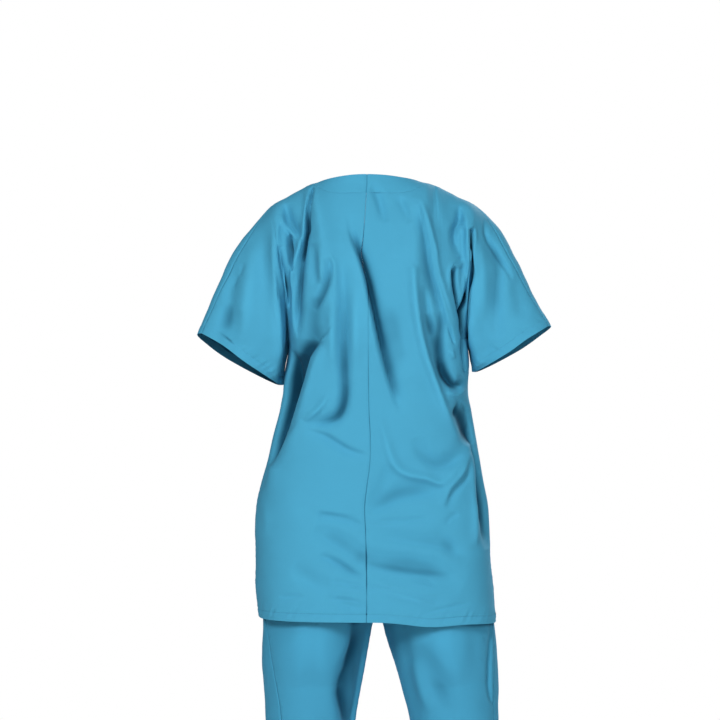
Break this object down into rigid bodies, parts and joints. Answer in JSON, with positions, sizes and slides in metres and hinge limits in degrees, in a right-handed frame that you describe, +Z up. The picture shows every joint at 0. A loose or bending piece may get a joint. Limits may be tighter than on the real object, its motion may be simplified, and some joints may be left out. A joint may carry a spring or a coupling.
{
  "type": "medical scrubs, kimono-sleeved top and trousers",
  "caption": "Short-sleeved V-neck scrub top with kimono sleeves and side vents over straight elasticated trousers, in worn form.",
  "frame": {"origin": "middle of the neck opening at the height of the side neck points, where the wearer's shoulders carry the top", "axes": "+Z up, -Y the way the wearer faces, +X to the wearer's left"},
  "size_m": [0.5636, 0.2534, 1.4051],
  "materials": {
    "cloth": "fine blue-green poly-cotton twill, faint sheen",
    "facing": "same twill, wrong side",
    "trouser_cloth": "same blue-green poly-cotton twill"
  },
  "bodies": {
    "root": {"back_left": "cloth", "back_right": "cloth", "front": "cloth", "neck_facing_back": "facing", "neck_facing_front": "facing", "pocket_left": "cloth", "pocket_right": "cloth", "trouser_back_left": "trouser_cloth", "trouser_back_right": "trouser_cloth", "trouser_front_left": "trouser_cloth", "trouser_front_right": "trouser_cloth", "waistband": "trouser_cloth"}
  },
  "joints": []
}
